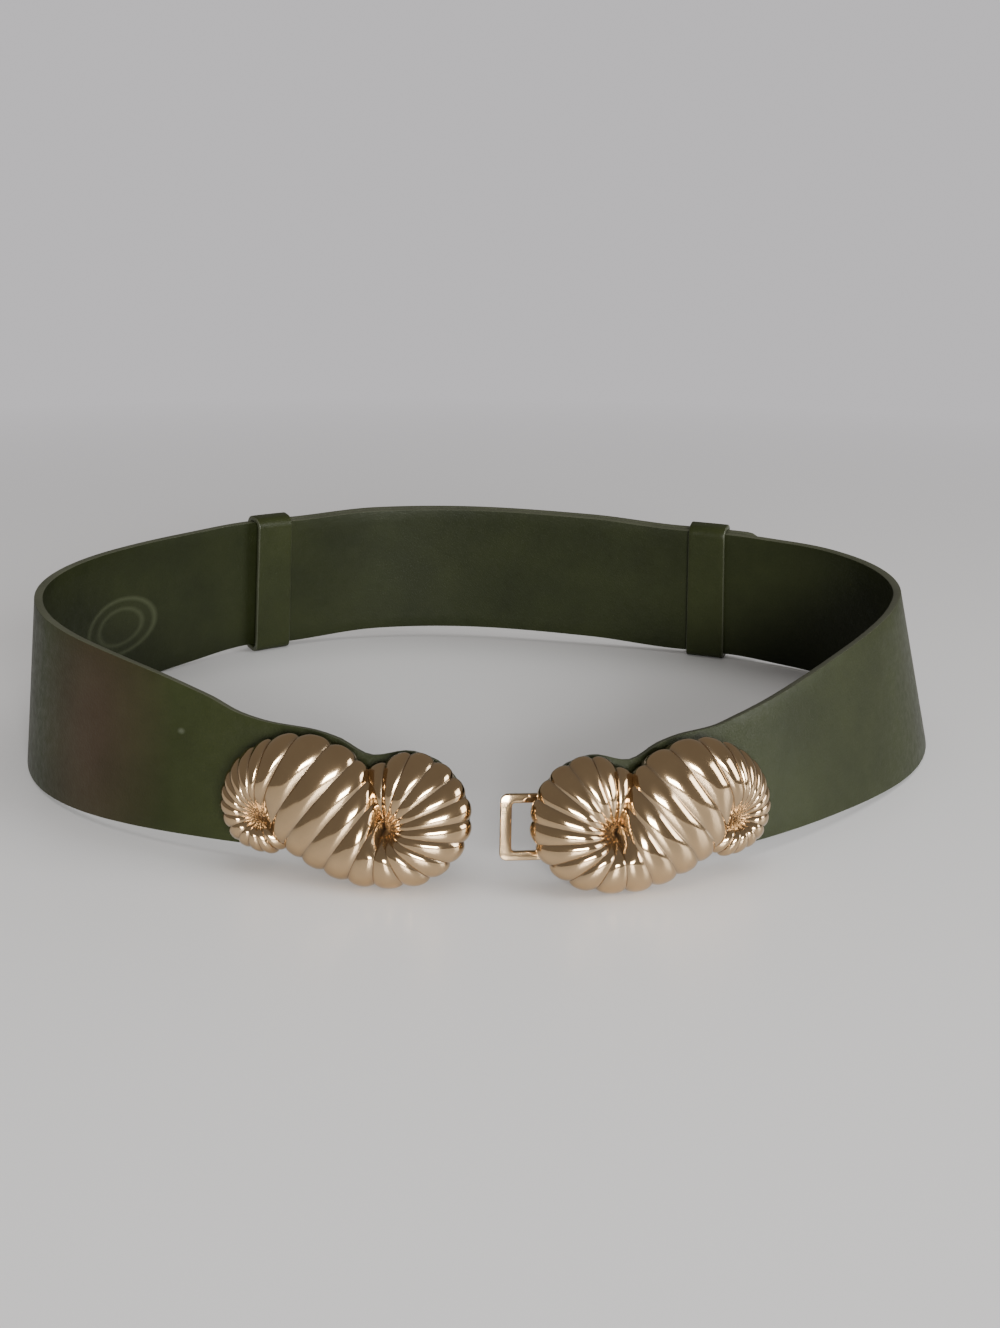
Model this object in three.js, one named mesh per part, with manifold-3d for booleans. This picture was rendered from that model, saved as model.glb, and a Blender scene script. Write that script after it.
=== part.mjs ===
// A waist belt of dark green leather with a pair of gold scroll ornaments on its clasp.
// It stands on its lower edge as a closed oval. Millimetres, +Z up, the clasp towards -Y.
//
// Every piece is first laid flat: "along" runs round the belt from the middle of the clasp, positive
// towards +X, "up" climbs the leather, and "out" leaves the middle of its thickness. bend() then wraps
// the flat piece round the oval, so pieces that fit each other flat still fit when they are bent.
import * as THREE from 'three';
import { mergeVertices } from 'three/addons/utils/BufferGeometryUtils.js';
import Module from 'manifold-3d';

const wasm = await Module();
wasm.setup();

// The oval that the belt stands in, seen from above
const LOOP_LENGTH = 282.8;
const LOOP_DEPTH = 221;
const LOOP_EVENNESS = 0.994;
const OVAL_STEPS = 1440;

// How far the wall leans inwards at its top, in degrees
const LEAN_FRONT = 15;
const LEAN_BACK = 8;
const LEAN_LEFT = 6;
const LEAN_RIGHT = 14;

// Leather
const LEATHER = 2.4;
const LEATHER_EDGE = 0.6;
const STRAP_WIDTH = 50;
const FRONT_LIFT = 3.3;
const TAPER_LENGTH = 105;
const BACK_RISE = 2.6;
const BACK_ARCH = 3;
const LAYER_GAP = 0.3;
const LAYER_EASE = 32;
const STATION_STEP = 6;
const TIP_ROUND = 6;
const LEFT_TIP_REACH = 14;

// The two leather keepers that hold the halves together
const KEEPER_LENGTH = 14.5;
const KEEPER_WALL = 1.8;
const KEEPER_GAP = 0.35;
const KEEPER_CORNER = 1.6;
const KEEPER_CLEAR = 2;
const KEEPER_PARTS = 3;
const LEFT_KEEPER_FROM_BACK = 86.5;
const RIGHT_KEEPER_FROM_BACK = 88;

// Scroll ornaments
const SCROLL_LENGTH = 66.2;
const SCROLL_HEIGHT = 36.8;
const SCROLL_DEPTH = 13;
const SCROLL_DROP = 2.3;
const SCROLL_GAP = 0.3;
const LEFT_SCROLL_FROM_FRONT = 34.7;
const RIGHT_SCROLL_FROM_FRONT = 42.8;
const WIDEST_SHARE = 0.5;
const HUB_FLOOR_SHARE = 0.48;
const TUCK = 1.8;
const RIB_DEPTH_SHARE = 0.15;
const RIB_FULLNESS = 2.5;
const STEPS_PER_RIB = 4;
const STEPS_PER_FLANK = 3;
const FUNNEL_REACH = 7;

// Rivets cast on the backs of the ornaments
const RIVET_RADIUS = 1.5;
const RIVET_HOLE_GAP = 0.3;
const RIVET_HEAD_RADIUS = 3.2;
const RIVET_HEAD = 0.9;
const RIVET_ROOT = 1.5;
const RIVET_SIDES = 12;

// The loop beside the right ornament
const CATCH_HEIGHT = 16.5;
const CATCH_LENGTH = 22;
const CATCH_BAR = 2.85;
const CATCH_RAIL = 2.3;
const CATCH_THICKNESS = 2.2;
const CATCH_CORNER = 0.8;
const CATCH_OUTER_CORNER = 1.8;
const CATCH_ROUND = 0.6;
const CATCH_PARTS = 4;
const CATCH_FROM_FRONT = 4.2;
const CATCH_MIDDLE_UP = 14.2;
const CATCH_STRAIGHT_FROM = 15;
const CATCH_CRANK = 12;
const CATCH_GAP = 0.3;

// The hook inside the left end
const HOOK_WIDTH = 9.5;
const HOOK_THICKNESS = 1.3;
const HOOK_THROAT = 3.4;
const HOOK_TIP = 12;
const HOOK_GAP = 0.3;
const HOOK_BEND_STEPS = 8;
const HOOK_FLARE = 1.6;
const HOOK_MARGIN = 1;

// What makes the oval uneven: each row is a swell that goes round it so many times
const LOOP_SWELLS = [
  { waves: 1, ahead: -0.009, aside: -0.013 },
  { waves: 2, ahead: -0.003, aside: -0.015 },
  { waves: 3, ahead: 0.016, aside: -0.01 },
  { waves: 4, ahead: -0.002, aside: 0.027 },
  { waves: 5, ahead: 0.002, aside: -0.002 },
  { waves: 6, ahead: 0.001, aside: 0.009 },
];

// Widening of the straps beyond the ornaments: shares of TAPER_LENGTH, of the growth to the full
// width on each side, and of FRONT_LIFT
const TAPER = [
  { beyond: 0, left: 0, right: 0, lift: 1 },
  { beyond: 0.1, left: 0.27, right: 0.13, lift: 0.93 },
  { beyond: 0.3, left: 0.62, right: 0.4, lift: 0.7 },
  { beyond: 0.5, left: 0.82, right: 0.64, lift: 0.4 },
  { beyond: 0.75, left: 0.94, right: 0.87, lift: 0.1 },
  { beyond: 1, left: 1, right: 1, lift: 0 },
];

// The leather end behind an ornament, in shares of the ornament's length (from its middle towards the
// clasp) and height
const LEATHER_END = [
  { along: -0.5, low: 0.1, high: 1.06 },
  { along: -0.36, low: 0.16, high: 1.02 },
  { along: -0.2, low: 0.25, high: 1.005 },
  { along: -0.08, low: 0.17, high: 0.965 },
  { along: 0.07, low: 0.1, high: 0.865 },
  { along: 0.22, low: 0.09, high: 0.915 },
  { along: 0.33, low: 0.14, high: 0.87 },
  { along: 0.42, low: 0.26, high: 0.75 },
  { along: 0.46, low: 0.35, high: 0.64 },
  { along: 0.48, low: 0.44, high: 0.54 },
];

// The fluted tube of an ornament, from its lower tail round the small curl, down the slope and round
// the big curl to its upper tail. Each row gives the two edges of the tube at a flute, in shares of
// the ornament's length (from its middle towards the clasp) and height, the place of its crest
// between the right edge and the left one, and the share of the full depth.
const SMALL_HUB = [-0.33, 0.4];
const BIG_HUB = [0.17, 0.39];
const SCROLL = [
  { flute: 0, right: SMALL_HUB, left: [-0.2, 0.23], crest: 0.5, depth: 0.62 },
  { flute: 1.5, right: SMALL_HUB, left: [-0.275, 0.145], crest: 0.5, depth: 0.72 },
  { flute: 4, right: SMALL_HUB, left: [-0.41, 0.2], crest: 0.5, depth: 0.8 },
  { flute: 6, right: SMALL_HUB, left: [-0.49, 0.4], crest: 0.5, depth: 0.84 },
  { flute: 8, right: SMALL_HUB, left: [-0.488, 0.62], crest: 0.5, depth: 0.88 },
  { flute: 10, right: SMALL_HUB, left: [-0.425, 0.81], crest: 0.48, depth: 0.94 },
  { flute: 12, right: SMALL_HUB, left: [-0.3, 0.95], crest: 0.46, depth: 1 },
  { flute: 13, right: [-0.325, 0.38], left: [-0.185, 1], crest: 0.48, depth: 1 },
  { flute: 14, right: [-0.285, 0.305], left: [-0.05, 0.965], crest: 0.5, depth: 1 },
  { flute: 15, right: [-0.225, 0.215], left: [0.055, 0.87], crest: 0.5, depth: 1 },
  { flute: 16, right: [-0.15, 0.135], left: [0.11, 0.74], crest: 0.5, depth: 1 },
  { flute: 17, right: [-0.06, 0.07], left: [0.14, 0.6], crest: 0.5, depth: 1 },
  { flute: 18, right: [0.04, 0.02], left: [0.16, 0.475], crest: 0.52, depth: 1 },
  { flute: 19, right: [0.15, 0], left: BIG_HUB, crest: 0.54, depth: 1 },
  { flute: 20.5, right: [0.32, 0.045], left: BIG_HUB, crest: 0.56, depth: 1 },
  { flute: 22, right: [0.44, 0.2], left: BIG_HUB, crest: 0.57, depth: 1 },
  { flute: 23.5, right: [0.5, 0.43], left: BIG_HUB, crest: 0.57, depth: 0.99 },
  { flute: 25, right: [0.483, 0.66], left: BIG_HUB, crest: 0.56, depth: 0.96 },
  { flute: 26.5, right: [0.4, 0.85], left: BIG_HUB, crest: 0.54, depth: 0.92 },
  { flute: 28, right: [0.26, 0.935], left: BIG_HUB, crest: 0.52, depth: 0.85 },
  { flute: 29.5, right: [0.11, 0.82], left: BIG_HUB, crest: 0.5, depth: 0.66 },
];

// Corners of the metal that closes the groove between each tail and the slope: a flute, and a share
// of the way from the right edge of the tube to the left one
const GROOVE_FLOOR = 5;
const LOWER_GROOVE = [[1, 0.6], [0.6, 0.93], [14.9, 0.08], [14.5, 0.25], [13, 0.2], [12.2, 0.08]];
const UPPER_GROOVE = [[28.6, 0.6], [28.6, 0.1], [15, 0.93], [15.6, 0.75], [18, 0.8], [18.8, 0.92]];

// Where the rivets stand on each ornament, and whether they also hold the hook
const LEFT_RIVETS = [
  { along: -0.3, up: 0.45, hook: false },
  { along: 0, up: 0.45, hook: true },
  { along: 0.15, up: 0.45, hook: true },
];
const RIGHT_RIVETS = [
  { along: -0.3, up: 0.45, hook: false },
  { along: 0.05, up: 0.45, hook: false },
];

const leather = new THREE.MeshStandardMaterial({ color: 0x34382a, roughness: 0.45, metalness: 0 });
const gold = new THREE.MeshStandardMaterial({ color: 0xcdb085, roughness: 0.15, metalness: 1 });

// A value read smoothly from rows that climb in their first column, with no overshoot
function readSmooth(rows, place, column, at) {
  const last = rows.length - 1;
  if (at <= rows[0][place]) return rows[0][column];
  if (at >= rows[last][place]) return rows[last][column];
  let i = 0;
  while (at > rows[i + 1][place]) i += 1;
  const rise = (k) => (rows[k + 1][column] - rows[k][column]) / (rows[k + 1][place] - rows[k][place]);
  const slope = (k) => {
    if (k === 0) return rise(0);
    if (k === last) return rise(last - 1);
    const before = rise(k - 1);
    const after = rise(k);
    return before * after <= 0 ? 0 : (2 * before * after) / (before + after);
  };
  const step = rows[i + 1][place] - rows[i][place];
  const t = (at - rows[i][place]) / step;
  const start = rows[i][column] * (1 + 2 * t) * (1 - t) ** 2 + slope(i) * step * t * (1 - t) ** 2;
  const end = rows[i + 1][column] * t * t * (3 - 2 * t) + slope(i + 1) * step * t * t * (t - 1);
  return start + end;
}

function smoothStep(t) {
  const inside = Math.min(1, Math.max(0, t));
  return inside * inside * (3 - 2 * inside);
}

// The oval: turn 0 is the middle of the clasp, and turn grows towards +X
function ovalPoint(turn) {
  let reach = LOOP_EVENNESS;
  for (const { waves, ahead, aside } of LOOP_SWELLS) {
    reach += ahead * Math.cos(waves * turn) + aside * Math.sin(waves * turn);
  }
  return new THREE.Vector2(
    (LOOP_LENGTH / 2) * reach * Math.sin(turn),
    (-LOOP_DEPTH / 2) * reach * Math.cos(turn),
  );
}

function ovalOutward(turn) {
  const nudge = Math.PI / OVAL_STEPS;
  const ahead = ovalPoint(turn + nudge).sub(ovalPoint(turn - nudge)).normalize();
  return new THREE.Vector2(ahead.y, -ahead.x);
}

const ovalLengths = [0];
for (let i = 1; i <= OVAL_STEPS; i += 1) {
  const step = (2 * Math.PI) / OVAL_STEPS;
  const chord = ovalPoint(i * step).distanceTo(ovalPoint((i - 1) * step));
  ovalLengths.push(ovalLengths[i - 1] + chord);
}
const GIRTH = ovalLengths[OVAL_STEPS];

function turnAt(along) {
  const wrapped = ((along % GIRTH) + GIRTH) % GIRTH;
  let low = 0;
  let high = OVAL_STEPS;
  while (high - low > 1) {
    const middle = (low + high) >> 1;
    if (ovalLengths[middle] <= wrapped) low = middle;
    else high = middle;
  }
  const share = (wrapped - ovalLengths[low]) / (ovalLengths[high] - ovalLengths[low]);
  return ((low + share) * 2 * Math.PI) / OVAL_STEPS;
}

function leanAt(turn) {
  const ends = Math.cos(turn) > 0 ? LEAN_FRONT : LEAN_BACK;
  const sides = Math.sin(turn) > 0 ? LEAN_RIGHT : LEAN_LEFT;
  return THREE.MathUtils.degToRad(ends * Math.cos(turn) ** 2 + sides * Math.sin(turn) ** 2);
}

// The wall turns about the inner corner of its lower edge, which rests on the ground
function bend([along, up, out]) {
  const turn = turnAt(along);
  const base = ovalPoint(turn);
  const outward = ovalOutward(turn);
  const lean = leanAt(turn);
  const level = out * Math.cos(lean) - up * Math.sin(lean);
  const height = up * Math.cos(lean) + (out + LEATHER / 2) * Math.sin(lean);
  return [base.x + outward.x * level, base.y + outward.y * level, height];
}

// Lowest "up" at which a piece whose inner face is at "out" stays above the ground
function footAt(along, out) {
  return -(out + LEATHER / 2) * Math.tan(leanAt(turnAt(along)));
}

// A closed solid from points and triangles, with merged corners and its faces outwards
function solidOf(points, triangles) {
  const geometry = new THREE.BufferGeometry();
  geometry.setAttribute('position', new THREE.Float32BufferAttribute(points.flat(), 3));
  geometry.setIndex(triangles.flat());
  const merged = mergeVertices(geometry, 1e-3);
  const index = merged.index.array;
  const corners = merged.attributes.position.array;
  const corner = (k) => new THREE.Vector3(corners[3 * k], corners[3 * k + 1], corners[3 * k + 2]);
  const kept = [];
  let volume = 0;
  for (let i = 0; i < index.length; i += 3) {
    const [a, b, c] = [index[i], index[i + 1], index[i + 2]];
    if (a === b || b === c || c === a) continue;
    kept.push(a, b, c);
    volume += corner(a).dot(corner(b).cross(corner(c)));
  }
  if (volume < 0) kept.reverse();
  const mesh = new wasm.Mesh({
    numProp: 3,
    vertProperties: new Float32Array(corners),
    triVerts: new Uint32Array(kept),
  });
  return new wasm.Manifold(mesh);
}

// A solid through sections with equally many corners. Ends are closed by a fan from the first corner,
// and a ring joins its last section to its first.
function loft(sections, ring = false) {
  const count = sections[0].length;
  const spans = ring ? sections.length : sections.length - 1;
  const triangles = [];
  for (let i = 0; i < spans; i += 1) {
    const here = i * count;
    const there = ((i + 1) % sections.length) * count;
    for (let j = 0; j < count; j += 1) {
      const k = (j + 1) % count;
      triangles.push([here + j, there + j, there + k]);
      triangles.push([here + j, there + k, here + k]);
    }
  }
  if (!ring) {
    const end = spans * count;
    for (let j = 1; j < count - 1; j += 1) {
      triangles.push([0, j, j + 1]);
      triangles.push([end, end + j + 1, end + j]);
    }
  }
  return solidOf(sections.flat().map(bend), triangles);
}

function meshOf(name, solid, material) {
  const { vertProperties, triVerts } = solid.getMesh();
  const geometry = new THREE.BufferGeometry();
  geometry.setAttribute('position', new THREE.Float32BufferAttribute(vertProperties, 3));
  geometry.setIndex(Array.from(triVerts));
  geometry.computeVertexNormals();
  const mesh = new THREE.Mesh(geometry, material);
  mesh.name = name;
  return mesh;
}

// The backs of the ornaments and of the catch lie just off the leather's outer face
const scrollBack = LEATHER / 2 + SCROLL_GAP;

// The keepers stand on the ground, so the straps pass through them a little higher
const keeperInside = LEATHER + LAYER_GAP / 2 + KEEPER_GAP;
const keeperFoot = footAt(GIRTH / 2, KEEPER_CORNER - keeperInside);
const passLow = keeperFoot + KEEPER_WALL + KEEPER_GAP;
const passHigh = passLow + STRAP_WIDTH - 2 * KEEPER_GAP - KEEPER_WALL / 2;

// The bend opens the outer faces, so an ornament and what follows its outline are first drawn in by
// this share, at which the ornament's widest line has its length
function drawnIn(scroll) {
  const widestOut = scrollBack + SCROLL_DEPTH * WIDEST_SHARE;
  const ends = [-0.5, 0.5].map((share) => {
    return new THREE.Vector3(...bend([scroll + share * SCROLL_LENGTH, 0, widestOut]));
  });
  return SCROLL_LENGTH / ends[0].distanceTo(ends[1]);
}

// Edges of the strap by its distance from the middle of the clasp, from its end to its tip
function strapRows(side) {
  const scrollMiddle = side === 'left' ? LEFT_SCROLL_FROM_FRONT : RIGHT_SCROLL_FROM_FRONT;
  const length = SCROLL_LENGTH * drawnIn(side === 'left' ? -scrollMiddle : scrollMiddle);
  const behind = LEATHER_END.map(({ along, low, high }) => ({
    from: scrollMiddle - along * length,
    low: low * SCROLL_HEIGHT - SCROLL_DROP,
    high: high * SCROLL_HEIGHT - SCROLL_DROP,
  })).reverse();
  const scrollEnd = behind[behind.length - 1];
  const widening = TAPER.slice(1).map((row) => ({
    from: scrollEnd.from + row.beyond * TAPER_LENGTH,
    low: row.lift * FRONT_LIFT,
    high: scrollEnd.high + row[side] * (STRAP_WIDTH - scrollEnd.high),
  }));
  scrollEnd.low = FRONT_LIFT;
  const half = GIRTH / 2;
  const pass = KEEPER_LENGTH / 2 + KEEPER_CLEAR;
  const farPass = Math.max(LEFT_KEEPER_FROM_BACK, RIGHT_KEEPER_FROM_BACK) + pass;
  const nearPass = Math.min(LEFT_KEEPER_FROM_BACK, RIGHT_KEEPER_FROM_BACK) - pass;
  const outerWay = [
    { from: half - 1.6 * farPass, low: 0, high: STRAP_WIDTH },
    { from: half - 1.25 * farPass, low: passLow / 2, high: (passHigh + STRAP_WIDTH) / 2 },
    { from: half - farPass, low: passLow, high: passHigh },
    { from: half - nearPass, low: passLow, high: passHigh },
    { from: half - 0.55 * nearPass, low: passLow + 0.75 * BACK_ARCH, high: passHigh + 0.75 * BACK_RISE },
    { from: half, low: passLow + BACK_ARCH, high: passHigh + BACK_RISE },
  ];
  const mirrored = outerWay.slice(0, -1).reverse().map((row) => ({ ...row, from: 2 * half - row.from }));
  return [...behind, ...widening, ...outerWay, ...mirrored];
}

// Where each half leaves the single thickness, and where it ends behind the other half
const straps = {
  left: {
    side: -1,
    layer: 1,
    overlapFrom: GIRTH / 2 - LEFT_KEEPER_FROM_BACK - KEEPER_LENGTH / 2,
    end: GIRTH / 2 + RIGHT_KEEPER_FROM_BACK + KEEPER_LENGTH / 2 + LEFT_TIP_REACH,
    rows: strapRows('left'),
    scroll: -LEFT_SCROLL_FROM_FRONT,
    rivets: LEFT_RIVETS,
  },
  right: {
    side: 1,
    layer: -1,
    overlapFrom: GIRTH / 2 - RIGHT_KEEPER_FROM_BACK - KEEPER_LENGTH / 2 - LEFT_TIP_REACH,
    end: GIRTH / 2 + LEFT_KEEPER_FROM_BACK + KEEPER_LENGTH / 4,
    rows: strapRows('right'),
    scroll: RIGHT_SCROLL_FROM_FRONT,
    rivets: RIGHT_RIVETS,
  },
};

// The outline of a strap's section with its edges rounded off
function strapSection(along, low, high, middle) {
  const half = LEATHER / 2;
  const edge = LEATHER_EDGE;
  return [
    [along, low, middle - half + edge],
    [along, low, middle + half - edge],
    [along, low + edge, middle + half],
    [along, high - edge, middle + half],
    [along, high, middle + half - edge],
    [along, high, middle - half + edge],
    [along, high - edge, middle - half],
    [along, low + edge, middle - half],
  ];
}

function strapStations({ rows, end }) {
  const places = rows.slice(0, LEATHER_END.length).map((row) => row.from);
  const start = places[places.length - 1];
  const tip = end - TIP_ROUND;
  const steps = Math.ceil((tip - start) / STATION_STEP);
  for (let i = 1; i <= steps; i += 1) places.push(start + ((tip - start) * i) / steps);
  for (const share of [0.5, 0.85, 1]) places.push(tip + share * TIP_ROUND);
  const fine = [];
  for (let i = 0; i < places.length - 1; i += 1) {
    const parts = Math.ceil((places[i + 1] - places[i]) / STATION_STEP);
    for (let k = 0; k < parts; k += 1) fine.push(places[i] + ((places[i + 1] - places[i]) * k) / parts);
  }
  return [...fine, places[places.length - 1]];
}

function rivetPlace(strap, rivet) {
  return [
    strap.scroll - strap.side * rivet.along * SCROLL_LENGTH * drawnIn(strap.scroll),
    rivet.up * SCROLL_HEIGHT - SCROLL_DROP,
  ];
}

// A short round bar across the leather, from one depth to another
function roundBar([along, up], radius, inner, outer) {
  const sections = [inner, outer].map((out) => {
    const corners = [];
    for (let i = 0; i < RIVET_SIDES; i += 1) {
      const angle = (i * 2 * Math.PI) / RIVET_SIDES;
      corners.push([along + radius * Math.cos(angle), up + radius * Math.sin(angle), out]);
    }
    return corners;
  });
  return loft(sections);
}

function strapSolid(strap) {
  const sections = strapStations(strap).map((from) => {
    const offset = (strap.layer * (LEATHER + LAYER_GAP)) / 2;
    const middle = offset * smoothStep((from - strap.overlapFrom + LAYER_EASE) / LAYER_EASE);
    const past = Math.max(0, from - strap.end + TIP_ROUND) / TIP_ROUND;
    const corner = TIP_ROUND * (1 - Math.sqrt(1 - past * past));
    const low = readSmooth(strap.rows, 'from', 'low', from) + corner;
    const high = readSmooth(strap.rows, 'from', 'high', from) - corner;
    return strapSection(strap.side * from, low, high, middle);
  });
  let solid = loft(sections);
  for (const rivet of strap.rivets) {
    const hole = roundBar(rivetPlace(strap, rivet), RIVET_RADIUS + RIVET_HOLE_GAP, -LEATHER, LEATHER);
    solid = solid.subtract(hole);
  }
  return solid;
}

// A round-cornered rectangle that the keepers and the catch loop are drawn on. Its long sides are parted, so
// that a ring on it can follow the bend.
const CORNERS = [
  [1, 1, 0],
  [-1, 1, Math.PI / 2],
  [-1, -1, Math.PI],
  [1, -1, Math.PI * 1.5],
];
const CORNER_SHARES = [0, 0.5, 1];

function roundRectangle(halfWidth, halfHeight, radius, parts) {
  const outline = [];
  for (let i = 0; i < CORNERS.length; i += 1) {
    const [right, top, from] = CORNERS[i];
    const arc = CORNER_SHARES.map((share) => {
      const angle = from + (share * Math.PI) / 2;
      return new THREE.Vector2(
        right * (halfWidth - radius) + radius * Math.cos(angle),
        top * (halfHeight - radius) + radius * Math.sin(angle),
      );
    });
    const [nextRight, nextTop, nextFrom] = CORNERS[(i + 1) % CORNERS.length];
    const next = new THREE.Vector2(
      nextRight * (halfWidth - radius) + radius * Math.cos(nextFrom),
      nextTop * (halfHeight - radius) + radius * Math.sin(nextFrom),
    );
    outline.push(...arc);
    for (let k = 1; k < parts; k += 1) outline.push(arc[arc.length - 1].clone().lerp(next, k / parts));
  }
  return outline;
}

function keeperSolid(along) {
  const halfHeight = (passHigh - passLow) / 2 + KEEPER_GAP;
  const middleUp = (passHigh + passLow) / 2;
  const ring = (grow) => roundRectangle(
    keeperInside + grow, halfHeight + grow, KEEPER_CORNER + grow, KEEPER_PARTS,
  );
  const inner = ring(0);
  const shoulder = ring(KEEPER_WALL - LEATHER_EDGE);
  const outer = ring(KEEPER_WALL);
  const half = KEEPER_LENGTH / 2;
  const sections = inner.map((_, i) => {
    const place = (point, shift) => [along + shift, middleUp + point.y, point.x];
    return [
      place(inner[i], -half),
      place(shoulder[i], -half),
      place(outer[i], -half + LEATHER_EDGE),
      place(outer[i], 0),
      place(outer[i], half - LEATHER_EDGE),
      place(shoulder[i], half),
      place(inner[i], half),
      place(inner[i], 0),
    ];
  });
  return loft(sections, true);
}

// The catch, or with grow the hollow that it needs round it. Its free end is cranked outwards.
function catchSolid(grow) {
  const middle = CATCH_FROM_FRONT + CATCH_LENGTH / 2;
  const ring = (sides, ends, radius) => roundRectangle(
    CATCH_LENGTH / 2 - sides, CATCH_HEIGHT / 2 - ends, radius, CATCH_PARTS,
  );
  const round = grow > 0 ? 0 : CATCH_ROUND;
  const slot = ring(CATCH_BAR + grow, CATCH_RAIL + grow, CATCH_CORNER);
  const slotRim = ring(CATCH_BAR - round + grow, CATCH_RAIL - round + grow, CATCH_CORNER + round);
  const rim = ring(round - grow, round - grow, CATCH_OUTER_CORNER);
  const edge = ring(-grow, -grow, CATCH_OUTER_CORNER);
  const crank = Math.tan(THREE.MathUtils.degToRad(CATCH_CRANK));
  const low = scrollBack - grow;
  const high = scrollBack + CATCH_THICKNESS + grow;
  const sections = slot.map((_, i) => {
    const place = (point, level) => {
      const along = middle + point.x;
      const out = level + crank * Math.max(0, CATCH_STRAIGHT_FROM - along);
      return [along, CATCH_MIDDLE_UP + point.y, out];
    };
    const plain = [place(slot[i], low), place(edge[i], low), place(edge[i], high), place(slot[i], high)];
    const rounded = [
      place(slot[i], low + round),
      place(slotRim[i], low),
      place(rim[i], low),
      place(edge[i], low + round),
      place(edge[i], high - round),
      place(rim[i], high),
      place(slotRim[i], high),
      place(slot[i], high - round),
    ];
    return grow > 0 ? plain : rounded;
  });
  return loft(sections, true);
}

// Scroll ornaments
const scrollLeft = SCROLL.map(({ left }) => new THREE.Vector3(left[0], left[1], 0));
const scrollRight = SCROLL.map(({ right }) => new THREE.Vector3(right[0], right[1], 0));
const leftEdge = new THREE.CatmullRomCurve3(scrollLeft);
const rightEdge = new THREE.CatmullRomCurve3(scrollRight);
const FLUTES = SCROLL[SCROLL.length - 1].flute;

// An edge of the tube at a flute. A stretch that stays at a hub has no length, so it stays exact.
function edgeAt(curve, points, flute) {
  let i = 0;
  while (i < SCROLL.length - 2 && flute > SCROLL[i + 1].flute) i += 1;
  const share = (flute - SCROLL[i].flute) / (SCROLL[i + 1].flute - SCROLL[i].flute);
  const still = points[i].distanceTo(points[i + 1]) === 0;
  const point = still ? points[i] : curve.getPoint((i + share) / (SCROLL.length - 1));
  return new THREE.Vector2(point.x * SCROLL_LENGTH, point.y * SCROLL_HEIGHT - SCROLL_DROP);
}

function fluteLine(flute) {
  const inside = Math.min(FLUTES, Math.max(0, flute));
  return [edgeAt(rightEdge, scrollRight, inside), edgeAt(leftEdge, scrollLeft, inside)];
}

// One section of the tube across a flute line, in the ornament's own flat directions. The valleys
// between flutes are pressed in towards the middle of the tube by a share of the flute's width.
function scrollSection(flute) {
  const [right, left] = fluteLine(flute);
  const before = fluteLine(flute - 0.5);
  const after = fluteLine(flute + 0.5);
  const hubs = [SMALL_HUB, BIG_HUB].map(
    ([along, up]) => new THREE.Vector2(along * SCROLL_LENGTH, up * SCROLL_HEIGHT - SCROLL_DROP),
  );
  const length = right.distanceTo(left);
  const crest = readSmooth(SCROLL, 'flute', 'crest', flute);
  const depth = SCROLL_DEPTH * readSmooth(SCROLL, 'flute', 'depth', flute);
  const widest = depth * WIDEST_SHARE;
  const hubFloor = depth * HUB_FLOOR_SHARE;
  const across = flute - Math.floor(flute);
  const valley = Math.abs(2 * across - 1) ** RIB_FULLNESS;
  const section = [];
  const add = (share, out) => {
    const widthHere = before[0].clone().lerp(before[1], share)
      .distanceTo(after[0].clone().lerp(after[1], share));
    const press = valley * RIB_DEPTH_SHARE * widthHere;
    const axis = new THREE.Vector2(crest * length, Math.min(out, widest));
    const spot = new THREE.Vector2(share * length, out);
    const reach = spot.distanceTo(axis);
    if (reach > press) spot.lerp(axis, press / reach);
    const place = right.clone().lerp(left, spot.x / length);
    section.push([place.x, place.y, scrollBack + spot.y]);
  };
  const flank = (edge, hubDistance, steps) => {
    const funnel = 1 - smoothStep(hubDistance / FUNNEL_REACH);
    const floor = THREE.MathUtils.lerp(widest, hubFloor, funnel);
    for (const step of steps) {
      const t = step / STEPS_PER_FLANK;
      const level = THREE.MathUtils.lerp(Math.sin((t * Math.PI) / 2), t, funnel);
      add(crest + (edge - crest) * level, floor + (depth - floor) * Math.cos((t * Math.PI) / 2));
    }
  };
  const hubDistance = (edge) => Math.min(...hubs.map((hub) => hub.distanceTo(edge)));
  const tuck = (edge) => (TUCK / length) * smoothStep(hubDistance(edge) / FUNNEL_REACH);
  const out = [];
  for (let i = STEPS_PER_FLANK; i > 0; i -= 1) out.push(i);
  add(crest, 0);
  add(tuck(right), 0);
  flank(0, hubDistance(right), out);
  add(crest, depth);
  flank(1, hubDistance(left), out.slice().reverse());
  add(1 - tuck(left), 0);
  return section;
}

// From the ornament's own directions to the belt's: each big curl is turned towards the clasp
function onBelt(strap, section) {
  const scale = -strap.side * drawnIn(strap.scroll);
  return section.map(([along, up, out]) => [strap.scroll + scale * along, up, out]);
}

// The floor of the groove where a tail of the tube lies against its slope
function grooveFloor(strap, corners) {
  const points = corners.map(([flute, share]) => {
    const [right, left] = fluteLine(flute);
    return right.clone().lerp(left, share);
  });
  const level = (out) => onBelt(strap, points.map(({ x, y }) => [x, y, out]));
  return loft([level(scrollBack), level(scrollBack + GROOVE_FLOOR)]);
}

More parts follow.
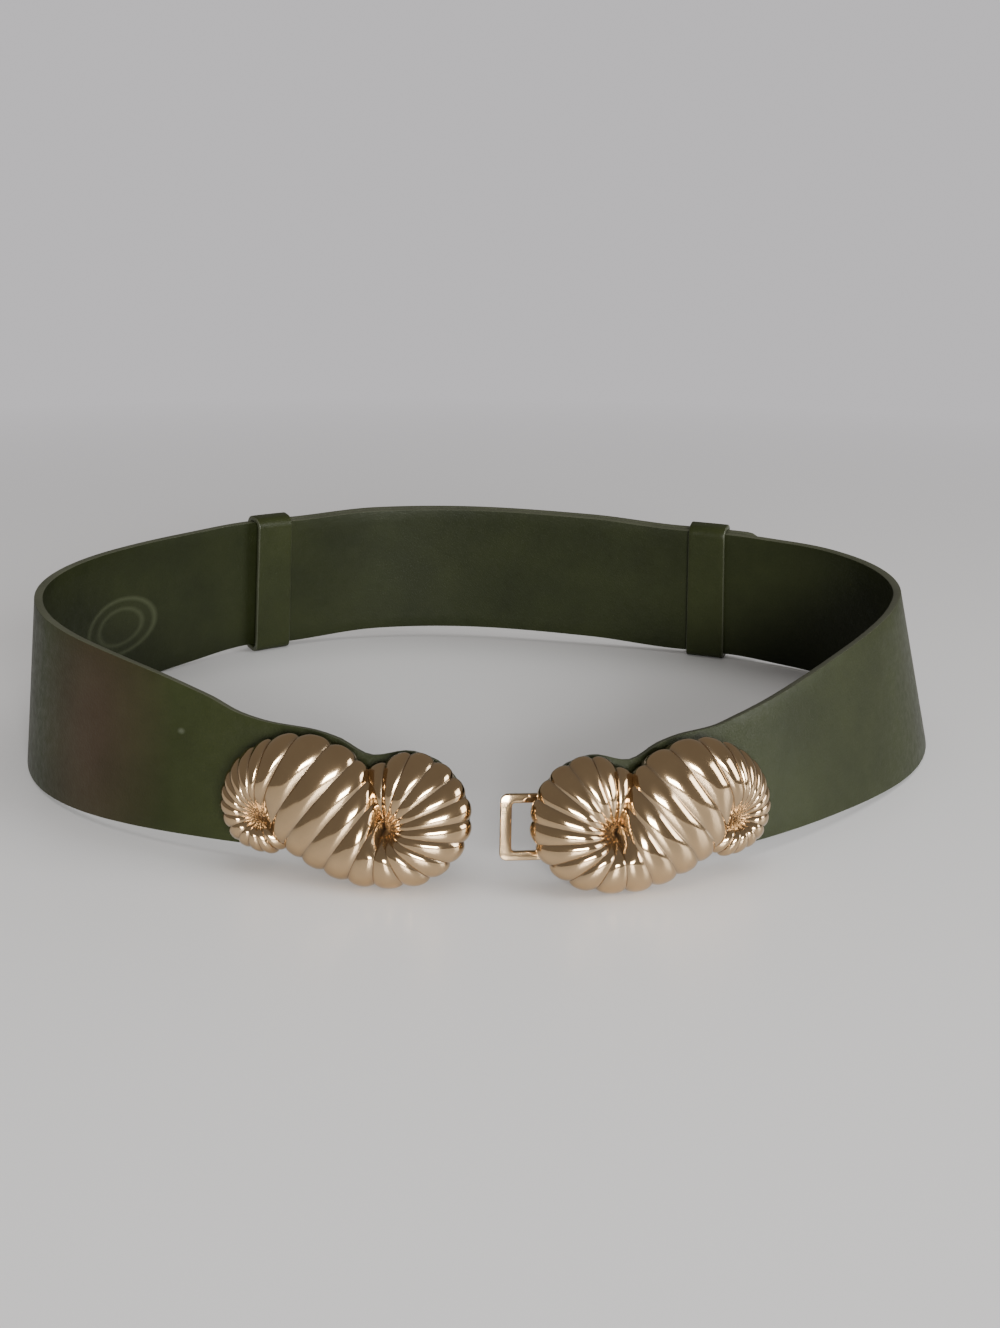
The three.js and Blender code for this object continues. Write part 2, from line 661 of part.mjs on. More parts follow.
function scrollSolid(strap) {
  const sections = [];
  for (let i = 0; i <= FLUTES * STEPS_PER_RIB; i += 1) {
    sections.push(onBelt(strap, scrollSection(i / STEPS_PER_RIB)));
  }
  let solid = loft(sections);
  solid = solid.add(grooveFloor(strap, LOWER_GROOVE)).add(grooveFloor(strap, UPPER_GROOVE));
  for (const rivet of strap.rivets) {
    const place = rivetPlace(strap, rivet);
    const under = -LEATHER / 2 - HOOK_GAP - (rivet.hook ? HOOK_THICKNESS + HOOK_GAP : 0);
    const head = roundBar(place, RIVET_HEAD_RADIUS, under - RIVET_HEAD, under);
    const shank = roundBar(place, RIVET_RADIUS, under - RIVET_HEAD / 2, scrollBack + RIVET_ROOT);
    solid = solid.add(shank).add(head);
  }
  return solid;
}

// The hook: a strip on the inner face that turns back on itself, for the catch to lie in its throat
function hookSolid(strap) {
  const inner = -LEATHER / 2 - HOOK_GAP;
  const first = rivetPlace(strap, LEFT_RIVETS[1]);
  const last = rivetPlace(strap, LEFT_RIVETS[2]);
  const start = first[0] - RIVET_HEAD_RADIUS - HOOK_MARGIN;
  const turnBack = last[0] + RIVET_HEAD_RADIUS + HOOK_TIP + 2 * HOOK_MARGIN;
  const radius = HOOK_THROAT / 2 + HOOK_THICKNESS / 2;
  const centre = inner - HOOK_THICKNESS / 2 - radius;
  const path = [];
  const steps = Math.ceil((turnBack - start) / STATION_STEP);
  for (let i = 0; i < steps; i += 1) {
    path.push([start + ((turnBack - start) * i) / steps, centre + radius, 0]);
  }
  for (let i = 0; i <= HOOK_BEND_STEPS; i += 1) {
    const angle = (i / HOOK_BEND_STEPS) * Math.PI;
    path.push([turnBack + radius * Math.sin(angle), centre + radius * Math.cos(angle), angle]);
  }
  path.push([turnBack - HOOK_TIP / 2, centre - radius, Math.PI]);
  path.push([turnBack - HOOK_TIP, centre - radius - HOOK_FLARE / 2, Math.PI]);
  const half = HOOK_THICKNESS / 2;
  const low = last[1] - HOOK_WIDTH / 2;
  const high = last[1] + HOOK_WIDTH / 2;
  const sections = path.map(([along, out, angle]) => {
    const shift = [half * Math.sin(angle), half * Math.cos(angle)];
    return [
      [along - shift[0], low, out - shift[1]],
      [along + shift[0], low, out + shift[1]],
      [along + shift[0], high, out + shift[1]],
      [along - shift[0], high, out - shift[1]],
    ];
  });
  let solid = loft(sections);
  for (const place of [first, last]) {
    const hole = roundBar(place, RIVET_RADIUS + RIVET_HOLE_GAP, inner - HOOK_THICKNESS - HOOK_MARGIN, 0);
    solid = solid.subtract(hole);
  }
  return solid;
}

const belt = new THREE.Group();
belt.add(meshOf('strap_left', strapSolid(straps.left), leather));
belt.add(meshOf('strap_right', strapSolid(straps.right), leather));
belt.add(meshOf('keeper_left', keeperSolid(-(GIRTH / 2 - LEFT_KEEPER_FROM_BACK)), leather));
belt.add(meshOf('keeper_right', keeperSolid(GIRTH / 2 - RIGHT_KEEPER_FROM_BACK), leather));
belt.add(meshOf('ornament_left', scrollSolid(straps.left), gold));
belt.add(meshOf('ornament_right', scrollSolid(straps.right).subtract(catchSolid(CATCH_GAP)), gold));
belt.add(meshOf('catch_loop', catchSolid(0), gold));
belt.add(meshOf('clasp_hook', hookSolid(straps.left), gold));

// The origin is under the middle of the belt, on the ground
const bounds = new THREE.Box3().setFromObject(belt);
const middle = bounds.getCenter(new THREE.Vector3());
belt.position.set(-middle.x, -middle.y, -bounds.min.z);

export default belt;
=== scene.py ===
import math
import bmesh
import bpy
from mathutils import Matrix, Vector


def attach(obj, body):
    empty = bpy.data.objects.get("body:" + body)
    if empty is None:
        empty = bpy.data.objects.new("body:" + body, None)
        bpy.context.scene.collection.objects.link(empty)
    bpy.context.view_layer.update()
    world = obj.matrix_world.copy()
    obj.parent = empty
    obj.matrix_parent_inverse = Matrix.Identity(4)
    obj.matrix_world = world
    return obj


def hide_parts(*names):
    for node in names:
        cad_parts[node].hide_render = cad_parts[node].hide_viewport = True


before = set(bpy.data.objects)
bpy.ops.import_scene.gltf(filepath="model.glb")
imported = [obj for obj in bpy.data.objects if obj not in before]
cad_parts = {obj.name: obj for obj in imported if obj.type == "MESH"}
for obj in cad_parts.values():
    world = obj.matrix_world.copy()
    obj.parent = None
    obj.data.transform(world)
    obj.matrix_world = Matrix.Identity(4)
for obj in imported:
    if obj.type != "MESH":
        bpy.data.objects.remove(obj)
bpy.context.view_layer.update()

# Sizes are in millimetres. Every piece is first laid flat: "along" runs round the belt from the middle of
# the clasp, "up" climbs the leather and "out" leaves the middle of its thickness. bend() then wraps it
# round the oval, in metres.
MM = 0.001
LOOP_LENGTH = 282.8
LOOP_DEPTH = 221
LOOP_EVENNESS = 0.994
OVAL_STEPS = 1440
OVAL_SHIFT = (0.195, 4.959, 0.004)
LEAN_FRONT = 15
LEAN_BACK = 8
LEAN_LEFT = 6
LEAN_RIGHT = 14

LEATHER = 2.4
LEATHER_EDGE = 0.6
STRAP_WIDTH = 50
FRONT_LIFT = 3.3
TAPER_LENGTH = 105
BACK_RISE = 2.6
BACK_ARCH = 3
LAYER_GAP = 0.3
LAYER_EASE = 32
TIP_ROUND = 6
LEFT_TIP_REACH = 14
STRAP_STEP = 2.2
STRAP_ROWS = 10

KEEPER_LENGTH = 14.5
KEEPER_WALL = 1.8
KEEPER_GAP = 0.35
KEEPER_CORNER = 1.6
KEEPER_CLEAR = 2
LEFT_KEEPER_FROM_BACK = 86.5
RIGHT_KEEPER_FROM_BACK = 88

SCROLL_LENGTH = 66.2
SCROLL_HEIGHT = 36.8
SCROLL_DEPTH = 13
SCROLL_DROP = 2.3
SCROLL_GAP = 0.3
LEFT_SCROLL_FROM_FRONT = 34.7
RIGHT_SCROLL_FROM_FRONT = 42.8
WIDEST_SHARE = 0.5
HUB_FLOOR_SHARE = 0.48
TUCK = 1.8
RIB_DEPTH_SHARE = 0.15
RIB_FULLNESS = 2.5
STEPS_PER_RIB = 14
STEPS_PER_FLANK = 18
FUNNEL_REACH = 7

RIVET_RADIUS = 1.5
RIVET_HEAD_RADIUS = 3.2
RIVET_HEAD = 0.9
RIVET_UP = 0.45
LEFT_RIVETS = [-0.3, 0, 0.15]
HOOK_RIVETS = [0, 0.15]
RIGHT_RIVETS = [-0.3, 0.05]

CATCH_HEIGHT = 16.5
CATCH_LENGTH = 22
CATCH_BAR = 2.85
CATCH_RAIL = 2.3
CATCH_THICKNESS = 2.2
CATCH_CORNER = 0.8
CATCH_OUTER_CORNER = 1.8
CATCH_ROUND = 0.6
CATCH_FROM_FRONT = 4.2
CATCH_MIDDLE_UP = 14.2
CATCH_STRAIGHT_FROM = 15
CATCH_CRANK = 12

HOOK_WIDTH = 9.5
HOOK_THICKNESS = 1.3
HOOK_THROAT = 3.4
HOOK_TIP = 12
HOOK_GAP = 0.3
HOOK_FLARE = 1.6
HOOK_MARGIN = 1

# Marks on the flat leather of the left half: the middle (along, up) and how far each one reaches
RING_PLACE = (-241.5, 22.4)
RING_REACH = (19, 11)
# BROWN_PLACE and BROWN_REACH place a painted reflection: a warm brown band on the outside
BROWN_PLACE = (-116, 26)
BROWN_REACH = (30, 60)
SCUFF_PLACE = (-83.8, 30)
SCUFF_REACH = (1.4, 1)

BACKDROP = (0.67, 0.65, 0.67, 1)

# Swells that make the oval uneven: times round it, share ahead, share aside
LOOP_SWELLS = [
    (1, -0.009, -0.013),
    (2, -0.003, -0.015),
    (3, 0.016, -0.01),
    (4, -0.002, 0.027),
    (5, 0.002, -0.002),
    (6, 0.001, 0.009),
]

# Widening beyond the ornaments: share of TAPER_LENGTH, growth on the left, growth on the right, lift
TAPER = [
    (0.1, 0.27, 0.13, 0.93),
    (0.3, 0.62, 0.4, 0.7),
    (0.5, 0.82, 0.64, 0.4),
    (0.75, 0.94, 0.87, 0.1),
    (1, 1, 1, 0),
]

# Leather end behind an ornament, in shares of its length and height: along, low, high
LEATHER_END = [
    (-0.5, 0.1, 1.06),
    (-0.36, 0.16, 1.02),
    (-0.2, 0.25, 1.005),
    (-0.08, 0.17, 0.965),
    (0.07, 0.1, 0.865),
    (0.22, 0.09, 0.915),
    (0.33, 0.14, 0.87),
    (0.42, 0.26, 0.75),
    (0.46, 0.35, 0.64),
    (0.48, 0.44, 0.54),
]

# The fluted tube of an ornament: flute, right edge, left edge, crest between them, depth
SMALL_HUB = (-0.33, 0.4)
BIG_HUB = (0.17, 0.39)
SCROLL = [
    (-1, SMALL_HUB, (-0.15, 0.33), 0.5, 0.52),
    (0, SMALL_HUB, (-0.2, 0.23), 0.5, 0.62),
    (1.5, SMALL_HUB, (-0.275, 0.145), 0.5, 0.72),
    (4, SMALL_HUB, (-0.41, 0.2), 0.5, 0.8),
    (6, SMALL_HUB, (-0.49, 0.4), 0.5, 0.84),
    (8, SMALL_HUB, (-0.488, 0.62), 0.5, 0.88),
    (10, SMALL_HUB, (-0.425, 0.81), 0.48, 0.94),
    (12, SMALL_HUB, (-0.3, 0.95), 0.46, 1),
    (13, (-0.325, 0.38), (-0.185, 1), 0.48, 1),
    (14, (-0.285, 0.305), (-0.05, 0.965), 0.5, 1),
    (15, (-0.225, 0.215), (0.055, 0.87), 0.5, 1),
    (16, (-0.15, 0.135), (0.11, 0.74), 0.5, 1),
    (17, (-0.06, 0.07), (0.14, 0.6), 0.5, 1),
    (18, (0.04, 0.02), (0.16, 0.475), 0.52, 1),
    (19, (0.15, 0), BIG_HUB, 0.54, 1),
    (20.5, (0.32, 0.045), BIG_HUB, 0.56, 1),
    (22, (0.44, 0.2), BIG_HUB, 0.57, 1),
    (23.5, (0.5, 0.43), BIG_HUB, 0.57, 0.99),
    (25, (0.483, 0.66), BIG_HUB, 0.56, 0.96),
    (26.5, (0.4, 0.85), BIG_HUB, 0.54, 0.92),
    (28, (0.26, 0.935), BIG_HUB, 0.52, 0.85),
    (29.5, (0.11, 0.82), BIG_HUB, 0.5, 0.66),
    (30.5, (0.03, 0.71), BIG_HUB, 0.5, 0.55),
]
FIRST_FLUTE = -1
LAST_FLUTE = 30.5
# Both tails run into the side of the slope from these flutes on
LOWER_TAIL = 1
UPPER_TAIL = 28


def read_smooth(rows, column, at):
    """A column read smoothly at a value of the first column, with no overshoot."""
    last = len(rows) - 1
    if at <= rows[0][0]:
        return rows[0][column]
    if at >= rows[last][0]:
        return rows[last][column]
    i = 0
    while at > rows[i + 1][0]:
        i += 1

    def rise(k):
        return (rows[k + 1][column] - rows[k][column]) / (rows[k + 1][0] - rows[k][0])

    def slope(k):
        if k == 0:
            return rise(0)
        if k == last:
            return rise(last - 1)
        before = rise(k - 1)
        after = rise(k)
        return 0 if before * after <= 0 else 2 * before * after / (before + after)

    step = rows[i + 1][0] - rows[i][0]
    t = (at - rows[i][0]) / step
    start = rows[i][column] * (1 + 2 * t) * (1 - t) ** 2 + slope(i) * step * t * (1 - t) ** 2
    end = rows[i + 1][column] * t * t * (3 - 2 * t) + slope(i + 1) * step * t * t * (t - 1)
    return start + end


def smooth_step(t):
    inside = min(1, max(0, t))
    return inside * inside * (3 - 2 * inside)


def between(a, b, t):
    return a + (b - a) * t


def oval_point(turn):
    reach = LOOP_EVENNESS
    for waves, ahead, aside in LOOP_SWELLS:
        reach += ahead * math.cos(waves * turn) + aside * math.sin(waves * turn)
    return Vector((LOOP_LENGTH / 2 * reach * math.sin(turn), -LOOP_DEPTH / 2 * reach * math.cos(turn)))


def oval_outward(turn):
    nudge = math.pi / OVAL_STEPS
    ahead = (oval_point(turn + nudge) - oval_point(turn - nudge)).normalized()
    return Vector((ahead.y, -ahead.x))


def measure_oval():
    lengths = [0]
    step = 2 * math.pi / OVAL_STEPS
    for i in range(1, OVAL_STEPS + 1):
        lengths.append(lengths[-1] + (oval_point(i * step) - oval_point((i - 1) * step)).length)
    return lengths


OVAL_LENGTHS = measure_oval()
GIRTH = OVAL_LENGTHS[-1]


def turn_at(along):
    wrapped = along % GIRTH
    low = 0
    high = OVAL_STEPS
    while high - low > 1:
        middle = (low + high) // 2
        if OVAL_LENGTHS[middle] <= wrapped:
            low = middle
        else:
            high = middle
    share = (wrapped - OVAL_LENGTHS[low]) / (OVAL_LENGTHS[high] - OVAL_LENGTHS[low])
    return (low + share) * 2 * math.pi / OVAL_STEPS


def lean_at(turn):
    ends = LEAN_FRONT if math.cos(turn) > 0 else LEAN_BACK
    sides = LEAN_RIGHT if math.sin(turn) > 0 else LEAN_LEFT
    return math.radians(ends * math.cos(turn) ** 2 + sides * math.sin(turn) ** 2)


def bend(flat):
    along, up, out = flat
    turn = turn_at(along)
    base = oval_point(turn)
    outward = oval_outward(turn)
    lean = lean_at(turn)
    level = out * math.cos(lean) - up * math.sin(lean)
    height = up * math.cos(lean) + (out + LEATHER / 2) * math.sin(lean)
    spot = Vector((base.x + outward.x * level, base.y + outward.y * level, height))
    return (spot + Vector(OVAL_SHIFT)) * MM


def foot_at(along, out):
    return -(out + LEATHER / 2) * math.tan(lean_at(turn_at(along)))


SCROLL_BACK = LEATHER / 2 + SCROLL_GAP
KEEPER_INSIDE = LEATHER + LAYER_GAP / 2 + KEEPER_GAP
KEEPER_FOOT = foot_at(GIRTH / 2, KEEPER_CORNER - KEEPER_INSIDE)
PASS_LOW = KEEPER_FOOT + KEEPER_WALL + KEEPER_GAP
PASS_HIGH = PASS_LOW + STRAP_WIDTH - 2 * KEEPER_GAP - KEEPER_WALL / 2


def drawn_in(scroll):
    """The share an ornament is drawn in by, so that its widest line has its length once it is bent."""
    widest_out = SCROLL_BACK + SCROLL_DEPTH * WIDEST_SHARE
    ends = [bend((scroll + share * SCROLL_LENGTH, 0, widest_out)) / MM for share in (-0.5, 0.5)]
    return SCROLL_LENGTH / (ends[0] - ends[1]).length


def strap_rows(side):
    """Edges of a strap: distance from the middle of the clasp, low, high."""
    middle = LEFT_SCROLL_FROM_FRONT if side < 0 else RIGHT_SCROLL_FROM_FRONT
    length = SCROLL_LENGTH * drawn_in(side * middle)
    rows = []
    for along, low, high in reversed(LEATHER_END):
        edges = [share * SCROLL_HEIGHT - SCROLL_DROP for share in (low, high)]
        rows.append([middle - along * length, *edges])
    start, _, narrow = rows[-1]
    rows[-1][1] = FRONT_LIFT
    for beyond, left, right, lift in TAPER:
        growth = left if side < 0 else right
        rows.append([start + beyond * TAPER_LENGTH, lift * FRONT_LIFT, between(narrow, STRAP_WIDTH, growth)])
    half = GIRTH / 2
    far = max(LEFT_KEEPER_FROM_BACK, RIGHT_KEEPER_FROM_BACK) + KEEPER_LENGTH / 2 + KEEPER_CLEAR
    near = min(LEFT_KEEPER_FROM_BACK, RIGHT_KEEPER_FROM_BACK) - KEEPER_LENGTH / 2 - KEEPER_CLEAR
    way = [
        [half - 1.6 * far, 0, STRAP_WIDTH],
        [half - 1.25 * far, PASS_LOW / 2, (PASS_HIGH + STRAP_WIDTH) / 2],
        [half - far, PASS_LOW, PASS_HIGH],
        [half - near, PASS_LOW, PASS_HIGH],
        [half - 0.55 * near, PASS_LOW + 0.75 * BACK_ARCH, PASS_HIGH + 0.75 * BACK_RISE],
        [half, PASS_LOW + BACK_ARCH, PASS_HIGH + BACK_RISE],
    ]
    mirrored = [[2 * half - place, low, high] for place, low, high in reversed(way[:-1])]
    return rows + way + mirrored


STRAPS = {
    "left": {
        "side": -1,
        "layer": 1,
        "overlap": GIRTH / 2 - LEFT_KEEPER_FROM_BACK - KEEPER_LENGTH / 2,
        "end": GIRTH / 2 + RIGHT_KEEPER_FROM_BACK + KEEPER_LENGTH / 2 + LEFT_TIP_REACH,
        "scroll": -LEFT_SCROLL_FROM_FRONT,
        "rivets": LEFT_RIVETS,
    },
    "right": {
        "side": 1,
        "layer": -1,
        "overlap": GIRTH / 2 - RIGHT_KEEPER_FROM_BACK - KEEPER_LENGTH / 2 - LEFT_TIP_REACH,
        "end": GIRTH / 2 + LEFT_KEEPER_FROM_BACK + KEEPER_LENGTH / 4,
        "scroll": RIGHT_SCROLL_FROM_FRONT,
        "rivets": RIGHT_RIVETS,
    },
}


def grid_sheet(columns, rows):
    """A flat sheet of cells. Each corner is at its share along x and y, from 0 to 1."""
    bm = bmesh.new()
    bmesh.ops.create_grid(bm, x_segments=columns, y_segments=rows, size=0.5)
    for vert in bm.verts:
        vert.co += Vector((0.5, 0.5, 0))
    return bm


def thicken(bm, shift):
    """Extrudes a whole sheet by a shift, which closes it."""
    grown = bmesh.ops.extrude_face_region(bm, geom=bm.faces[:], use_keep_orig=True)
    verts = [item for item in grown["geom"] if isinstance(item, bmesh.types.BMVert)]
    bmesh.ops.translate(bm, vec=shift, verts=verts)
    bmesh.ops.recalc_face_normals(bm, faces=bm.faces)
    return bm


def round_edges(bm, edges, width, segments):
    bmesh.ops.bevel(
        bm, geom=edges, offset=width, affect="EDGES", segments=segments, profile=0.5, material=-1,
        clamp_overlap=True,
    )


def sharp_corners(bm, degrees=60):
    return [edge for edge in bm.edges if edge.calc_face_angle(0) > math.radians(degrees)]


def finish_piece(name, bm, materials, replaced, sharp_from=40):
    """Writes the flat place of each corner, bends the piece round the oval and hands it to the frame."""
    flat = bm.verts.layers.float_vector.new("flat")
    for vert in bm.verts:
        vert[flat] = vert.co
        vert.co = bend(vert.co)
    bmesh.ops.recalc_face_normals(bm, faces=bm.faces)
    for face in bm.faces:
        face.smooth = True
    mesh = bpy.data.meshes.new(name)
    bm.to_mesh(mesh)
    bm.free()
    mesh.set_sharp_from_angle(angle=math.radians(sharp_from))
    for material in materials:
        mesh.materials.append(material)
    piece = bpy.data.objects.new(name, mesh)
    bpy.context.scene.collection.objects.link(piece)
    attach(piece, "root")
    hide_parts(replaced)
    return piece


def node(material, kind, **values):
    made = material.node_tree.nodes.new(kind)
    for key, value in values.items():
        if key in made.bl_rna.properties:
            setattr(made, key, value)
        else:
            made.inputs[key.replace("_", " ")].default_value = value
    return made


def join(material, source, output, target, socket):
    material.node_tree.links.new(source.outputs[output], target.inputs[socket])


def ramp(material, stops):
    made = material.node_tree.nodes.new("ShaderNodeValToRGB")
    band = made.color_ramp
    while len(band.elements) < len(stops):
        band.elements.new(0.5)
    for element, (place, colour) in zip(band.elements, stops):
        element.position = place
        element.color = colour if isinstance(colour, tuple) else (colour, colour, colour, 1)
    return made


def colour(red, green, blue):
    return (red, green, blue, 1)


def new_material(name):
    material = bpy.data.materials.new(name)
    material.use_nodes = True
    return material, material.node_tree.nodes["Principled BSDF"]


def mix_colours(material, share, first, second, blend="MIX"):
    """A mix node whose factor, first and second colours are (node, output) pairs or plain values."""
    made = material.node_tree.nodes.new("ShaderNodeMix")
    made.data_type = "RGBA"
    made.blend_type = blend
    for index, value in ((0, share), (6, first), (7, second)):
        if isinstance(value, tuple) and isinstance(value[0], bpy.types.Node):
            material.node_tree.links.new(value[0].outputs[value[1]], made.inputs[index])
        else:
            made.inputs[index].default_value = value
    return made


def leather_grain(material, shader, coarse):
    """Pores, fine wrinkles and a slow waviness, all on the leather's bump; the textures are handed back for its
    colour and roughness.
    """
    place = node(material, "ShaderNodeTexCoord")
    pores = node(material, "ShaderNodeTexVoronoi", feature="SMOOTH_F1", Scale=1500, Smoothness=0.5)
    wrinkles = node(material, "ShaderNodeTexNoise", Scale=420, Detail=4, Roughness=0.6)
    waves = node(material, "ShaderNodeTexNoise", Scale=26, Detail=2, Roughness=0.5)
    for texture in (pores, wrinkles, waves):
        join(material, place, "Object", texture, "Vector")
    wavy = node(material, "ShaderNodeBump", Strength=0.5, Distance=0.0009)
    creased = node(material, "ShaderNodeBump", Strength=0.35 * coarse, Distance=0.0002)
    grained = node(material, "ShaderNodeBump", Strength=0.3 * coarse, Distance=0.00012)
    join(material, waves, "Fac", wavy, "Height")
    join(material, wrinkles, "Fac", creased, "Height")
    join(material, wavy, "Normal", creased, "Normal")
    join(material, pores, "Distance", grained, "Height")
    join(material, creased, "Normal", grained, "Normal")
    join(material, grained, "Normal", shader, "Normal")
    return place, pores, wrinkles, waves


def leather_colour(material, place, pores, dark, light):
    clouds = node(material, "ShaderNodeTexNoise", Scale=38, Detail=5, Roughness=0.62)
    join(material, place, "Object", clouds, "Vector")
    tone = ramp(material, [(0.32, dark), (0.68, light)])
    join(material, clouds, "Fac", tone, "Fac")
    shade = ramp(material, [(0.0, 0.72), (0.35, 1.0)])
    join(material, pores, "Distance", shade, "Fac")
    return mix_colours(material, 0.6, (tone, "Color"), (shade, "Color"), "MULTIPLY")


def distance_on_leather(material, centre, reach):
    """How far a point is from a place on the flat leather, in shares of the reach along and up."""
    flat = node(material, "ShaderNodeAttribute", attribute_name="flat")
    moved = node(material, "ShaderNodeVectorMath", operation="SUBTRACT")
    moved.inputs[1].default_value = (*centre, 0)
    scaled = node(material, "ShaderNodeVectorMath", operation="MULTIPLY")
    scaled.inputs[1].default_value = (1 / reach[0], 1 / reach[1], 0)
    length = node(material, "ShaderNodeVectorMath", operation="LENGTH")
    join(material, flat, "Vector", moved, 0)
    join(material, moved, "Vector", scaled, 0)
    join(material, scaled, "Vector", length, 0)
    return length


def leather_outside():
    """Green leather, with a painted brown reflection where the left half turns to the front, and one small pale
    scuff.
    """
    material, shader = new_material("leather_outside")
    place, pores, wrinkles, waves = leather_grain(material, shader, 1)
    green = leather_colour(material, place, pores, colour(0.0135, 0.0172, 0.0042), colour(0.0212, 0.0262, 0.0074))
    brown = leather_colour(material, place, pores, colour(0.028, 0.0182, 0.0098), colour(0.038, 0.0262, 0.0155))
    # Painted reflection: a brown band mixed into the green around BROWN_PLACE
    band = ramp(material, [(0.15, 0.95), (1.0, 0.0)])
    join(material, distance_on_leather(material, BROWN_PLACE, BROWN_REACH), "Value", band, "Fac")
    brown_reflection_mix = mix_colours(material, (band, "Color"), (green, "Result"), (brown, "Result"))
    spot = ramp(material, [(0.3, 0.8), (1.0, 0.0)])
    join(material, distance_on_leather(material, SCUFF_PLACE, SCUFF_REACH), "Value", spot, "Fac")
    tinted = mix_colours(material, (spot, "Color"), (brown_reflection_mix, "Result"), colour(0.055, 0.062, 0.04))
    join(material, tinted, "Result", shader, "Base Color")
    gloss = ramp(material, [(0.3, 0.38), (0.7, 0.52)])
    join(material, wrinkles, "Fac", gloss, "Fac")
    join(material, gloss, "Color", shader, "Roughness")
    shader.inputs["Specular IOR Level"].default_value = 0.22
    return material


def leather_inside():
    """Darker green leather, with two plain oval rings pressed into the left half."""
    material, shader = new_material("leather_inside")
    place, pores, wrinkles, waves = leather_grain(material, shader, 0.8)
    green = leather_colour(material, place, pores, colour(0.0098, 0.0128, 0.0028), colour(0.0155, 0.0196, 0.005))
    rings = ramp(material, [(0.48, 0.1), (0.58, 0.8), (0.68, 0.1), (0.8, 0.1), (0.9, 0.9), (1.0, 0.0)])
    join(material, distance_on_leather(material, RING_PLACE, RING_REACH), "Value", rings, "Fac")
    tinted = mix_colours(material, (rings, "Color"), (green, "Result"), colour(0.042, 0.049, 0.024))
    join(material, tinted, "Result", shader, "Base Color")
    shader.inputs["Specular IOR Level"].default_value = 0.22
    gloss = ramp(material, [(0.3, 0.42), (0.7, 0.56)])
    join(material, wrinkles, "Fac", gloss, "Fac")
    join(material, gloss, "Color", shader, "Roughness")
    return material


def leather_edge():
    material, shader = new_material("leather_edge")
    place, pores, wrinkles, waves = leather_grain(material, shader, 1.3)
    tinted = leather_colour(material, place, pores, colour(0.034, 0.038, 0.02), colour(0.056, 0.061, 0.036))
    join(material, tinted, "Result", shader, "Base Color")
    shader.inputs["Roughness"].default_value = 0.5
    return material


def polished_gold():
    material, shader = new_material("polished_gold")
    place = node(material, "ShaderNodeTexCoord")
    deep = node(material, "ShaderNodeAttribute", attribute_name="recess")
    # Painted shade: the recess attribute turns the gold a darker brown in the flute valleys and hub pits,
    # together with tarnish there, and dulls its roughness
    gold_and_painted_shade = ramp(material, [
        (0.0, colour(0.57, 0.405, 0.235)),
        (1.0, colour(0.36, 0.29, 0.21)),
    ])
    join(material, deep, "Fac", gold_and_painted_shade, "Fac")
    clouds = node(material, "ShaderNodeTexNoise", Scale=120, Detail=4, Roughness=0.6)
    join(material, place, "Object", clouds, "Vector")
    worn = ramp(material, [(0.3, 0.9), (0.7, 1.0)])
    join(material, clouds, "Fac", worn, "Fac")
    tinted = mix_colours(material, 1.0, (gold_and_painted_shade, "Color"), (worn, "Color"), "MULTIPLY")
    join(material, tinted, "Result", shader, "Base Color")
    gloss = ramp(material, [(0.3, 0.09), (0.7, 0.14)])
    join(material, clouds, "Fac", gloss, "Fac")
    dull = mix_colours(material, (deep, "Fac"), (gloss, "Color"), colour(0.34, 0.34, 0.34))
    join(material, dull, "Result", shader, "Roughness")
    ripple = node(material, "ShaderNodeTexNoise", Scale=240, Detail=2, Roughness=0.5)
    join(material, place, "Object", ripple, "Vector")
    bumped = node(material, "ShaderNodeBump", Strength=0.12, Distance=0.0002)
    join(material, ripple, "Fac", bumped, "Height")
    join(material, bumped, "Normal", shader, "Normal")
    shader.inputs["Metallic"].default_value = 1
    return material


OUTSIDE, INSIDE, EDGE = leather_outside(), leather_inside(), leather_edge()
GOLD = polished_gold()


def dress_leather(bm):
    """Outer faces, inner faces and cut edges get materials 0, 1 and 2."""
    for face in bm.faces:
        if face.normal.z > 0.9:
            face.material_index = 0
        elif face.normal.z < -0.9:
            face.material_index = 1
        else:
            face.material_index = 2


def make_strap(name, strap):
    rows = strap_rows(strap["side"])
    start = rows[0][0]
    columns = math.ceil((strap["end"] - start) / STRAP_STEP)
    bm = grid_sheet(columns, STRAP_ROWS)
    thicken(bm, Vector((0, 0, 1)))
    for vert in bm.verts:
        share, height, layer = vert.co
        distance = start + share * (strap["end"] - start)
        offset = strap["layer"] * (LEATHER + LAYER_GAP) / 2
        middle = offset * smooth_step((distance - strap["overlap"] + LAYER_EASE) / LAYER_EASE)
        past = max(0, distance - strap["end"] + TIP_ROUND) / TIP_ROUND
        corner = TIP_ROUND * (1 - math.sqrt(max(0, 1 - past * past)))
        low = read_smooth(rows, 1, distance) + corner
        high = read_smooth(rows, 2, distance) - corner
        out = middle + (layer - 0.5) * LEATHER
        vert.co = Vector((strap["side"] * distance, between(low, high, height), out))
    bmesh.ops.recalc_face_normals(bm, faces=bm.faces)
    round_edges(bm, sharp_corners(bm), LEATHER_EDGE, 3)
    dress_leather(bm)
    return finish_piece(name, bm, [OUTSIDE, INSIDE, EDGE], name)


